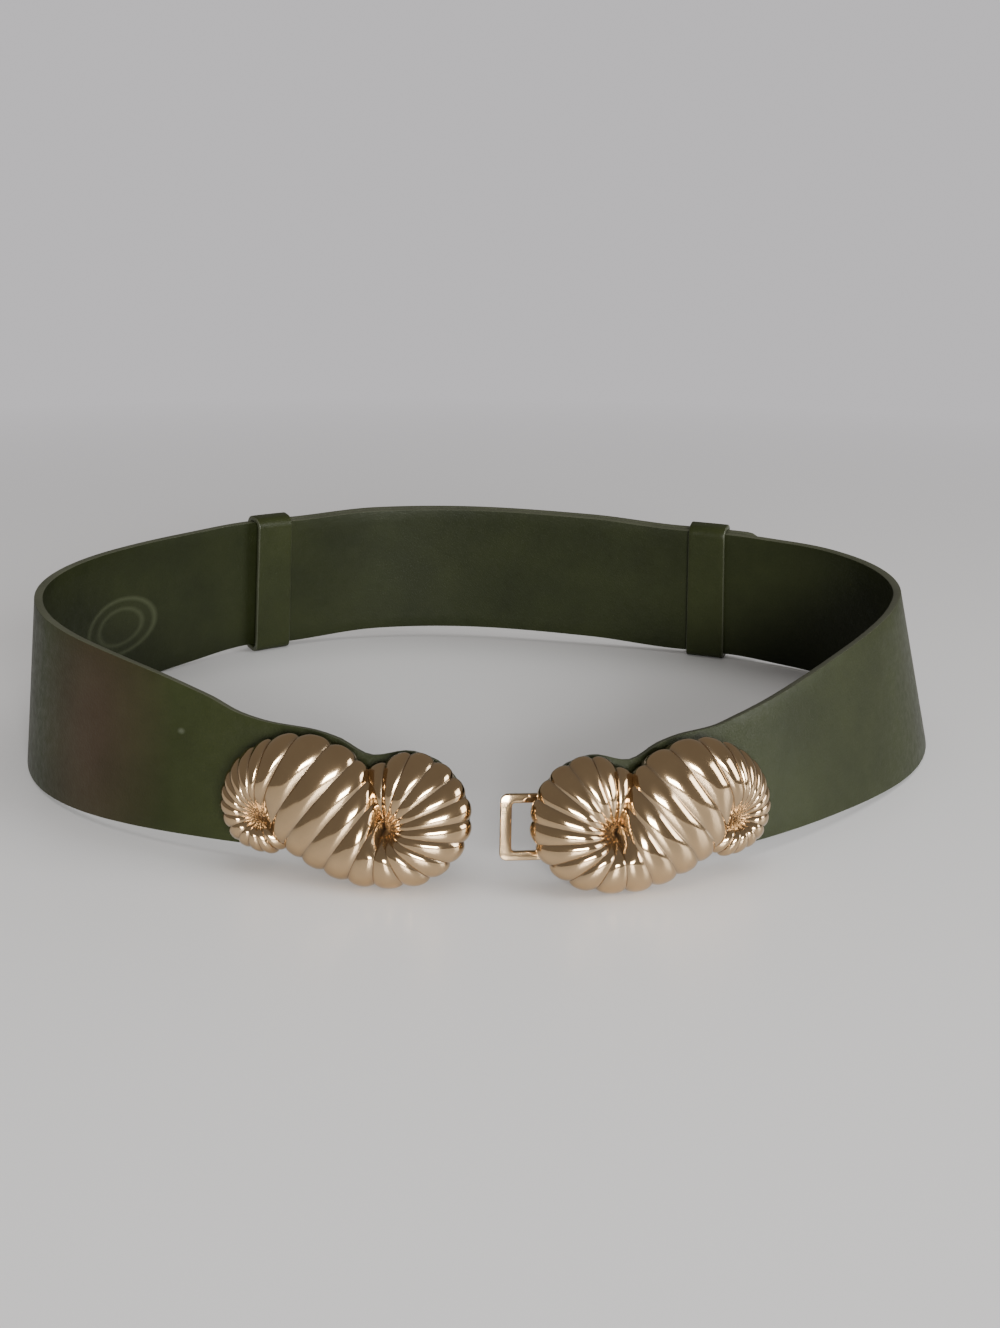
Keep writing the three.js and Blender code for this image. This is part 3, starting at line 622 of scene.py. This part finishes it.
def make_keeper(name, along):
    half_height = (PASS_HIGH - PASS_LOW) / 2 + KEEPER_GAP + KEEPER_WALL
    half_width = KEEPER_INSIDE + KEEPER_WALL
    bm = bmesh.new()
    bmesh.ops.create_cube(bm, size=2)
    bmesh.ops.scale(bm, vec=(KEEPER_LENGTH / 2, half_height, half_width), verts=bm.verts)
    ends = [face for face in bm.faces if abs(face.normal.x) > 0.9]
    bmesh.ops.delete(bm, geom=ends, context="FACES_ONLY")
    long_edges = [edge for edge in bm.edges if abs(edge.verts[0].co.x - edge.verts[1].co.x) > 1]
    round_edges(bm, long_edges, KEEPER_CORNER + KEEPER_WALL, 6)
    bmesh.ops.recalc_face_normals(bm, faces=bm.faces)
    bmesh.ops.solidify(bm, geom=bm.faces[:], thickness=KEEPER_WALL)
    bmesh.ops.recalc_face_normals(bm, faces=bm.faces)
    rims = [
        edge for edge in bm.edges
        if abs(edge.verts[0].co.x - edge.verts[1].co.x) < 0.01 and edge.calc_face_angle(0) > 1
    ]
    round_edges(bm, rims, LEATHER_EDGE, 3)
    lengthwise = [edge for edge in bm.edges if abs(edge.verts[0].co.x - edge.verts[1].co.x) > 5]
    bmesh.ops.subdivide_edges(bm, edges=lengthwise, cuts=7)
    bmesh.ops.translate(bm, vec=(along, (PASS_HIGH + PASS_LOW) / 2, 0), verts=bm.verts)
    for face in bm.faces:
        face.material_index = 1 if abs(face.normal.x) > 0.5 else 0
    return finish_piece(name, bm, [OUTSIDE, EDGE], name)


def spline_place(points, i, share):
    """A point between two rows of an edge, on a centripetal spline through all of them."""
    first = points[i - 1] if i > 0 else 2 * points[0] - points[1]
    here = points[i]
    there = points[i + 1]
    last = points[i + 2] if i + 2 < len(points) else 2 * points[-1] - points[-2]
    steps = [math.sqrt((b - a).length) for a, b in ((first, here), (here, there), (there, last))]
    steps[1] = steps[1] if steps[1] > 1e-4 else 1
    steps[0] = steps[0] if steps[0] > 1e-4 else steps[1]
    steps[2] = steps[2] if steps[2] > 1e-4 else steps[1]
    leave = (here - first) / steps[0] - (there - first) / (steps[0] + steps[1]) + (there - here) / steps[1]
    reach = (there - here) / steps[1] - (last - here) / (steps[1] + steps[2]) + (last - there) / steps[2]
    leave *= steps[1]
    reach *= steps[1]
    bow = -3 * here + 3 * there - 2 * leave - reach
    twist = 2 * here - 2 * there + leave + reach
    return here + leave * share + bow * share ** 2 + twist * share ** 3


SCROLL_EDGES = [[Vector(row[side]) for row in SCROLL] for side in (1, 2)]


def flute_line(flute):
    """The right and left edge of the tube at a flute, in millimetres."""
    inside = min(LAST_FLUTE, max(FIRST_FLUTE, flute))
    i = 0
    while i < len(SCROLL) - 2 and inside > SCROLL[i + 1][0]:
        i += 1
    share = (inside - SCROLL[i][0]) / (SCROLL[i + 1][0] - SCROLL[i][0])
    ends = []
    for points in SCROLL_EDGES:
        still = (points[i] - points[i + 1]).length < 1e-9
        point = points[i] if still else spline_place(points, i, share)
        ends.append(Vector((point.x * SCROLL_LENGTH, point.y * SCROLL_HEIGHT - SCROLL_DROP)))
    return ends


HUBS = [
    Vector((along * SCROLL_LENGTH, up * SCROLL_HEIGHT - SCROLL_DROP)) for along, up in (SMALL_HUB, BIG_HUB)
]


def scroll_section(flute):
    """Points across the tube at a flute as (place, out, recess), from the back round to the back."""
    right, left = flute_line(flute)
    before = flute_line(flute - 0.5)
    after = flute_line(flute + 0.5)
    length = (right - left).length
    crest = read_smooth(SCROLL, 3, flute)
    depth = SCROLL_DEPTH * read_smooth(SCROLL, 4, flute)
    widest = depth * WIDEST_SHARE
    hub_floor = depth * HUB_FLOOR_SHARE
    across = flute - math.floor(flute)
    valley = abs(2 * across - 1) ** RIB_FULLNESS
    section = []

    def add(share, out, funnel=0):
        width = (before[0].lerp(before[1], share) - after[0].lerp(after[1], share)).length
        press = valley * RIB_DEPTH_SHARE * width
        axis = Vector((crest * length, min(out, widest)))
        spot = Vector((share * length, out))
        reach = (spot - axis).length
        if reach > press:
            spot = spot.lerp(axis, press / reach)
        place = right.lerp(left, spot.x / length)
        # recess: the share of painted shade, with tarnish, on the gold: most in the flute valleys and deep in the
        # funnels towards the hubs
        recess = max(valley ** 3 * 0.6, min(1, 1.9 * funnel * (1 - out / depth)))
        section.append((place, SCROLL_BACK + spot.y, recess))

    def flank(edge, hub_distance, steps):
        funnel = 1 - smooth_step(hub_distance / FUNNEL_REACH)
        floor = between(widest, hub_floor, funnel)
        for step in steps:
            t = step / STEPS_PER_FLANK
            level = between(math.sin(t * math.pi / 2), t, funnel)
            fall = math.cos(t * math.pi / 2)
            add(crest + (edge - crest) * level, floor + (depth - floor) * fall, funnel)

    right_hub = min((hub - right).length for hub in HUBS)
    left_hub = min((hub - left).length for hub in HUBS)
    add(crest, 0)
    add(TUCK / length * smooth_step(right_hub / FUNNEL_REACH), 0)
    flank(0, right_hub, range(STEPS_PER_FLANK, 0, -1))
    add(crest, depth)
    flank(1, left_hub, range(1, STEPS_PER_FLANK + 1))
    add(1 - TUCK / length * smooth_step(left_hub / FUNNEL_REACH), 0)
    return section


def add_round_bar(bm, place, radius, inner, outer, rounding):
    made = bmesh.ops.create_cone(
        bm, cap_ends=True, segments=32, radius1=radius, radius2=radius, depth=outer - inner,
    )
    verts = made["verts"]
    bmesh.ops.translate(bm, vec=(place[0], place[1], (inner + outer) / 2), verts=verts)
    if rounding:
        rim = {
            edge for vert in verts for edge in vert.link_edges
            if all(abs(end.co.z - inner) < 1e-3 for end in edge.verts)
        }
        round_edges(bm, list(rim), rounding, 4)


def add_tube(bm, strap, first, last):
    """A stretch of the tube: a sheet rolled round it, flute by flute, with its ends closed."""
    steps = round((last - first) * STEPS_PER_RIB)
    sections = [scroll_section(first + i / STEPS_PER_RIB) for i in range(steps + 1)]
    count = len(sections[0])
    recess = bm.verts.layers.float["recess"]
    scale = -strap["side"] * drawn_in(strap["scroll"])
    made = bmesh.ops.create_grid(bm, x_segments=steps, y_segments=count, size=0.5)["verts"]
    for vert in made:
        i = round((vert.co.x + 0.5) * steps)
        j = round((vert.co.y + 0.5) * count) % count
        place, out, deep = sections[i][j]
        vert.co = Vector((strap["scroll"] + scale * place.x, place.y, out))
        vert[recess] = deep
    bmesh.ops.remove_doubles(bm, verts=made, dist=1e-4)
    bmesh.ops.holes_fill(bm, edges=[edge for edge in bm.edges if edge.is_boundary], sides=0)


def make_ornament(name, strap):
    bm = bmesh.new()
    bm.verts.layers.float.new("recess")
    for first, last in ((FIRST_FLUTE, LOWER_TAIL), (LOWER_TAIL, UPPER_TAIL), (UPPER_TAIL, LAST_FLUTE)):
        add_tube(bm, strap, first, last)
    scale = -strap["side"] * drawn_in(strap["scroll"])
    for along in strap["rivets"]:
        hooked = strap["side"] < 0 and along in HOOK_RIVETS
        place = (strap["scroll"] + scale * along * SCROLL_LENGTH, RIVET_UP * SCROLL_HEIGHT - SCROLL_DROP)
        under = -LEATHER / 2 - HOOK_GAP - (HOOK_THICKNESS + HOOK_GAP if hooked else 0)
        add_round_bar(bm, place, RIVET_HEAD_RADIUS, under - RIVET_HEAD, under, 0.55)
        add_round_bar(bm, place, RIVET_RADIUS, under - RIVET_HEAD / 2, SCROLL_BACK + 1, 0)
    return finish_piece(name, bm, [GOLD], name, sharp_from=50)


def make_catch():
    """The flat rectangular loop: a frame of cells, thickened and rounded."""
    bm = grid_sheet(8, 6)
    columns = [0, CATCH_BAR] + [between(CATCH_BAR, CATCH_LENGTH - CATCH_BAR, k / 6) for k in range(1, 6)]
    columns += [CATCH_LENGTH - CATCH_BAR, CATCH_LENGTH]
    rows = [0, CATCH_RAIL] + [between(CATCH_RAIL, CATCH_HEIGHT - CATCH_RAIL, k / 4) for k in range(1, 4)]
    rows += [CATCH_HEIGHT - CATCH_RAIL, CATCH_HEIGHT]
    inner = [
        face for face in bm.faces
        if 0.125 < face.calc_center_median().x < 0.875 and 1 / 6 < face.calc_center_median().y < 5 / 6
    ]
    bmesh.ops.delete(bm, geom=inner, context="FACES")
    for vert in bm.verts:
        column = columns[round(vert.co.x * 8)]
        row = rows[round(vert.co.y * 6)]
        vert.co = Vector((CATCH_FROM_FRONT + column, CATCH_MIDDLE_UP - CATCH_HEIGHT / 2 + row, SCROLL_BACK))
    thicken(bm, Vector((0, 0, CATCH_THICKNESS)))
    upright = [edge for edge in sharp_corners(bm) if abs(edge.verts[0].co.z - edge.verts[1].co.z) > 1]
    middle = Vector((CATCH_FROM_FRONT + CATCH_LENGTH / 2, CATCH_MIDDLE_UP))
    outer = [
        edge for edge in upright
        if abs(edge.verts[0].co.x - middle.x) > CATCH_LENGTH / 2 - 0.1
    ]
    inner = [edge for edge in upright if edge not in outer]
    round_edges(bm, outer, CATCH_OUTER_CORNER, 5)
    inner = [
        edge for edge in sharp_corners(bm)
        if abs(edge.verts[0].co.z - edge.verts[1].co.z) > 1
        and abs(edge.verts[0].co.x - middle.x) < CATCH_LENGTH / 2 - 1
    ]
    round_edges(bm, inner, CATCH_CORNER, 4)
    rims = [edge for edge in sharp_corners(bm) if abs(edge.verts[0].co.z - edge.verts[1].co.z) < 0.01]
    round_edges(bm, rims, CATCH_ROUND, 4)
    for vert in bm.verts:
        vert.co.z += math.tan(math.radians(CATCH_CRANK)) * max(0, CATCH_STRAIGHT_FROM - vert.co.x)
    return finish_piece("catch_loop", bm, [GOLD], "catch_loop")


def make_hook():
    """The strip on the inner face that turns back on itself."""
    strap = STRAPS["left"]
    inner = -LEATHER / 2 - HOOK_GAP
    scale = drawn_in(strap["scroll"])
    rivet_up = RIVET_UP * SCROLL_HEIGHT - SCROLL_DROP
    first, last = [strap["scroll"] + scale * along * SCROLL_LENGTH for along in HOOK_RIVETS]
    start = first - RIVET_HEAD_RADIUS - HOOK_MARGIN
    turn_back = last + RIVET_HEAD_RADIUS + HOOK_TIP + 2 * HOOK_MARGIN
    radius = (HOOK_THROAT + HOOK_THICKNESS) / 2
    centre = inner - HOOK_THICKNESS / 2 - radius
    path = [(between(start, turn_back, k / 12), centre + radius, 0) for k in range(12)]
    for k in range(17):
        angle = k / 16 * math.pi
        path.append((turn_back + radius * math.sin(angle), centre + radius * math.cos(angle), angle))
    path.append((turn_back - HOOK_TIP / 2, centre - radius, math.pi))
    path.append((turn_back - HOOK_TIP, centre - radius - HOOK_FLARE / 2, math.pi))
    bm = grid_sheet(len(path) - 1, 2)
    thicken(bm, Vector((0, 0, 1)))
    for vert in bm.verts:
        along, out, angle = path[round(vert.co.x * (len(path) - 1))]
        shift = (vert.co.z - 0.5) * HOOK_THICKNESS
        up = rivet_up + (vert.co.y - 0.5) * HOOK_WIDTH
        vert.co = Vector((along + shift * math.sin(angle), up, out + shift * math.cos(angle)))
    bmesh.ops.recalc_face_normals(bm, faces=bm.faces)
    round_edges(bm, sharp_corners(bm), 0.3, 3)
    return finish_piece("clasp_hook", bm, [GOLD], "clasp_hook")


def make_floor():
    """A pale floor that fades into the backdrop far from the belt."""
    bm = bmesh.new()
    bmesh.ops.create_circle(bm, cap_ends=True, segments=96, radius=4)
    mesh = bpy.data.meshes.new("floor")
    bm.to_mesh(mesh)
    bm.free()
    material, shader = new_material("pale_floor")
    shader.inputs["Base Color"].default_value = colour(0.72, 0.72, 0.73)
    shader.inputs["Roughness"].default_value = 0.35
    place = node(material, "ShaderNodeTexCoord")
    reach = node(material, "ShaderNodeVectorMath", operation="LENGTH")
    join(material, place, "Object", reach, 0)
    far = ramp(material, [(0.2, 0.0), (0.9, 1.0)])
    join(material, reach, "Value", far, "Fac")
    seen = node(material, "ShaderNodeLightPath")
    share = node(material, "ShaderNodeMath", operation="MULTIPLY")
    join(material, far, "Color", share, 0)
    join(material, seen, "Is Camera Ray", share, 1)
    backdrop = node(material, "ShaderNodeEmission")
    backdrop.inputs["Color"].default_value = BACKDROP
    blend = node(material, "ShaderNodeMixShader")
    join(material, share, "Value", blend, 0)
    join(material, shader, "BSDF", blend, 1)
    join(material, backdrop, "Emission", blend, 2)
    join(material, blend, "Shader", material.node_tree.nodes["Material Output"], "Surface")
    mesh.materials.append(material)
    floor = bpy.data.objects.new("floor", mesh)
    bpy.context.scene.collection.objects.link(floor)


def make_camera():
    """The photograph's own place and angle."""
    right = Vector((0.9999, 0.0039, 0.0126))
    up = Vector((-0.0132, 0.2961, 0.9551))
    back = right.cross(up).normalized()
    up = back.cross(right).normalized()
    camera = bpy.data.objects.new("camera", bpy.data.cameras.new("camera"))
    camera.data.sensor_width = 36
    camera.data.lens = 39.04
    camera.data.clip_start = 0.01
    turned = camera.matrix_world.copy()
    for row in range(3):
        turned[row][0] = right[row]
        turned[row][1] = up[row]
        turned[row][2] = back[row]
    turned[0][3] = 0.00385
    turned[1][3] = -0.4331
    turned[2][3] = 0.15843
    camera.matrix_world = turned
    bpy.context.scene.collection.objects.link(camera)
    bpy.context.scene.camera = camera


def add_light(name, place, target, size, power, tint=(1, 1, 1)):
    data = bpy.data.lights.new(name, "AREA")
    data.shape = "RECTANGLE"
    data.size, data.size_y = size
    data.energy = power
    data.color = tint
    light = bpy.data.objects.new(name, data)
    light.location = place
    light.rotation_euler = (Vector(target) - Vector(place)).to_track_quat("-Z", "Y").to_euler()
    bpy.context.scene.collection.objects.link(light)
    return light


def make_light():
    add_light("window", (0.2, -1.45, 0.36), (0, 0, 0.02), (0.6, 0.28), 34, (1, 0.99, 0.97))
    add_light("side_window", (1.5, -0.45, 0.55), (0, 0, 0.02), (0.7, 0.7), 16, (1, 1, 1))
    ceiling = add_light("ceiling", (0.2, 0.1, 1.6), (0, 0, 0), (1.6, 1.6), 11, (1, 0.98, 0.96))
    ceiling.visible_glossy = False
    world = bpy.data.worlds.new("room")
    world.use_nodes = True
    bpy.context.scene.world = world
    tree = world.node_tree
    seen = tree.nodes["Background"]
    seen.inputs["Color"].default_value = BACKDROP
    seen.inputs["Strength"].default_value = 1
    felt = tree.nodes.new("ShaderNodeBackground")
    felt.inputs["Color"].default_value = (0.34, 0.32, 0.3, 1)
    felt.inputs["Strength"].default_value = 0.75
    path = tree.nodes.new("ShaderNodeLightPath")
    mix = tree.nodes.new("ShaderNodeMixShader")
    tree.links.new(path.outputs["Is Camera Ray"], mix.inputs["Fac"])
    tree.links.new(felt.outputs["Background"], mix.inputs[1])
    tree.links.new(seen.outputs["Background"], mix.inputs[2])
    tree.links.new(mix.outputs["Shader"], tree.nodes["World Output"].inputs["Surface"])


make_camera()
make_light()
make_floor()
make_strap("strap_left", STRAPS["left"])
make_strap("strap_right", STRAPS["right"])
make_keeper("keeper_left", -(GIRTH / 2 - LEFT_KEEPER_FROM_BACK))
make_keeper("keeper_right", GIRTH / 2 - RIGHT_KEEPER_FROM_BACK)
make_ornament("ornament_left", STRAPS["left"])
make_ornament("ornament_right", STRAPS["right"])
make_catch()
make_hook()
